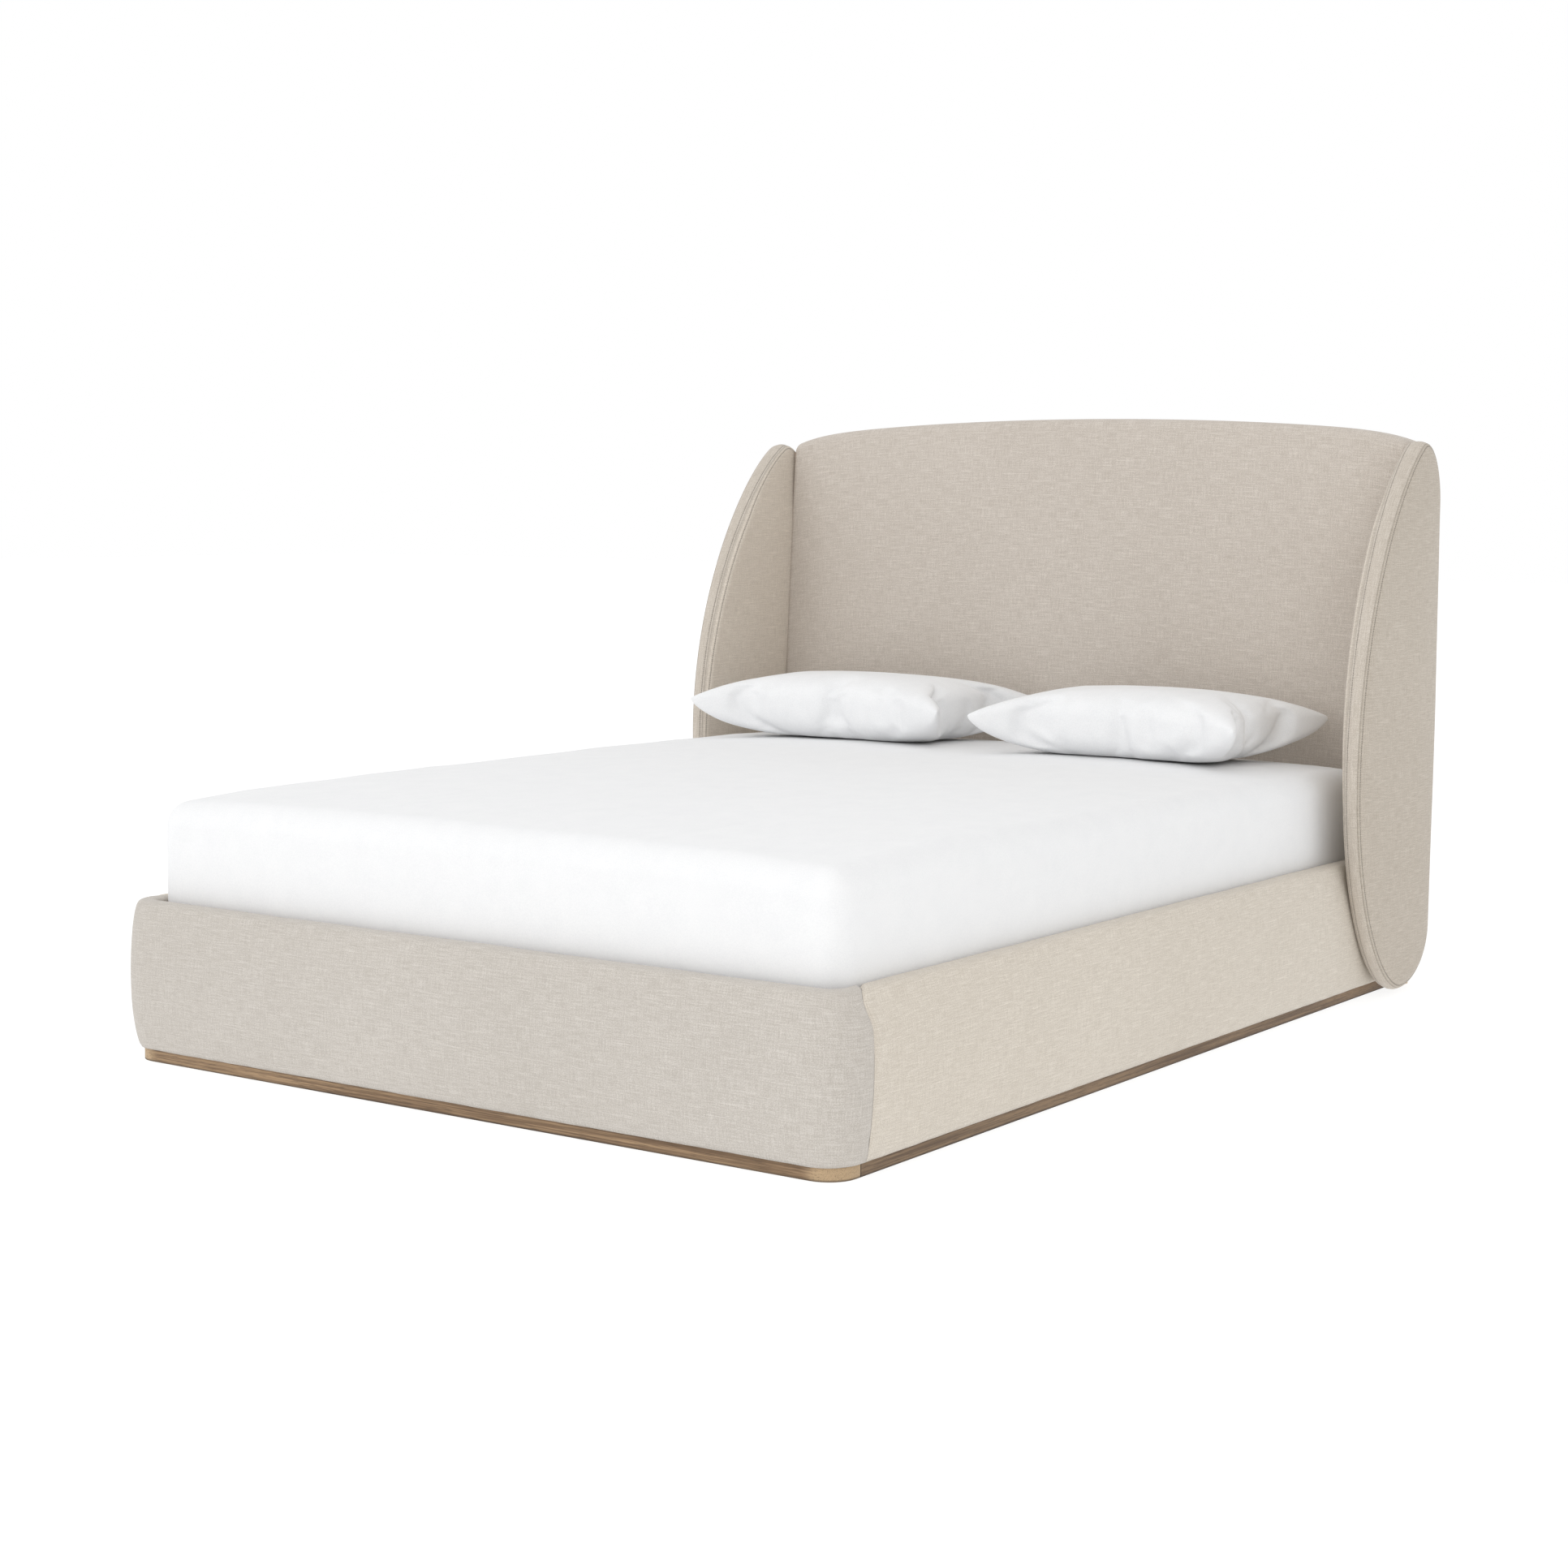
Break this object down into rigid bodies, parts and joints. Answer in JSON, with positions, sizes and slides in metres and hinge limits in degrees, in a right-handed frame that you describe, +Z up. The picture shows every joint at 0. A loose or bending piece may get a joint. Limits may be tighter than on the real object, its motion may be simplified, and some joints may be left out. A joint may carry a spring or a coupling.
{
  "type": "upholstered bed",
  "caption": "Bed with a padded arched headboard between two leaf-shaped padded side wings, barrel-padded rails on a low wooden plinth, a slatted base, a sheeted mattress and pillows.",
  "frame": {"origin": "on the floor, under the middle of the whole bed's bounding box", "axes": "+Z up; the headboard stands at +Y and the foot of the bed faces -Y; X runs across the bed, left as seen from the foot at -X"},
  "size_m": [1.734, 2.2466, 1.235],
  "materials": {
    "rail_linen": "linen-look plain weave with slubs, matt",
    "headboard_linen": "linen-look plain weave with slubs, matt",
    "wing_linen": "linen-look plain weave with slubs, matt",
    "oak_plinth": "weathered open-grain oak stain, low sheen",
    "pine_frame": "planed softwood, unfinished",
    "pine_slats": "planed softwood, unfinished",
    "plywood": "unfinished plywood",
    "bracket_steel": "black powder coat",
    "foot_plastic": "moulded, matt",
    "dark_backing_cloth": "non-woven lining, matt",
    "mattress_ticking": "knitted cover, matt",
    "sheet_cotton": "white woven cotton, matt",
    "pillow_cotton": "white woven cotton, matt"
  },
  "bodies": {
    "bed_frame": {"plinth_front": "oak_plinth", "plinth_left": "oak_plinth", "plinth_right": "oak_plinth", "foot_rail": "pine_frame", "side_rail_left": "pine_frame", "side_rail_right": "pine_frame", "corner_block_left": "pine_frame", "corner_block_right": "pine_frame", "footboard_cover": "rail_linen", "side_cover_left": "rail_linen", "side_cover_right": "rail_linen", "slat_ledger_left": "pine_frame", "slat_ledger_right": "pine_frame", "centre_beam": "pine_frame", "beam_cradle_foot": "bracket_steel", "beam_cradle_head": "bracket_steel", "centre_leg_1": "pine_frame", "centre_leg_2": "pine_frame", "centre_leg_3": "pine_frame", "slat_01": "pine_slats", "slat_02": "pine_slats", "slat_03": "pine_slats", "slat_04": "pine_slats", "slat_05": "pine_slats", "slat_06": "pine_slats", "slat_07": "pine_slats", "slat_08": "pine_slats", "slat_09": "pine_slats", "slat_10": "pine_slats", "slat_11": "pine_slats", "slat_12": "pine_slats", "rail_bracket_left": "bracket_steel", "rail_bracket_right": "bracket_steel", "headboard_post_left": "pine_frame", "headboard_post_right": "pine_frame", "headboard_top_rail": "pine_frame", "headboard_middle_rail": "pine_frame", "headboard_bottom_rail": "pine_frame", "headboard_panel": "plywood", "headboard_back_cover": "dark_backing_cloth", "headboard_pad": "headboard_linen", "wing_inner_pad_left": "wing_linen", "wing_board_left": "plywood", "wing_outer_pad_left": "wing_linen", "wing_band_left": "wing_linen", "wing_inner_pad_right": "wing_linen", "wing_board_right": "plywood", "wing_outer_pad_right": "wing_linen", "wing_band_right": "wing_linen"},
    "leveller_foot_1": {"leveller_1": "foot_plastic"},
    "leveller_foot_2": {"leveller_2": "foot_plastic"},
    "leveller_foot_3": {"leveller_3": "foot_plastic"},
    "mattress_and_sheet": {"mattress": "mattress_ticking", "fitted_sheet": "sheet_cotton"},
    "left_pillow": {"pillow_left": "pillow_cotton"},
    "right_pillow": {"pillow_right": "pillow_cotton"}
  },
  "joints": [
    {"name": "mattress_lift", "type": "slide", "parent": "bed_frame", "child": "mattress_and_sheet", "axis": [0, 0, 1], "range_m": [0, 0.35]},
    {"name": "pillow_left_lift", "type": "slide", "parent": "mattress_and_sheet", "child": "left_pillow", "axis": [0, 0, 1], "range_m": [0, 0.25]},
    {"name": "pillow_right_lift", "type": "slide", "parent": "mattress_and_sheet", "child": "right_pillow", "axis": [0, 0, 1], "range_m": [0, 0.25]},
    {"name": "leveller_1_height", "type": "slide", "parent": "bed_frame", "child": "leveller_foot_1", "axis": [0, 0, 1], "range_m": [0, 0.01]},
    {"name": "leveller_2_height", "type": "slide", "parent": "bed_frame", "child": "leveller_foot_2", "axis": [0, 0, 1], "range_m": [0, 0.01]},
    {"name": "leveller_3_height", "type": "slide", "parent": "bed_frame", "child": "leveller_foot_3", "axis": [0, 0, 1], "range_m": [0, 0.01]}
  ]
}
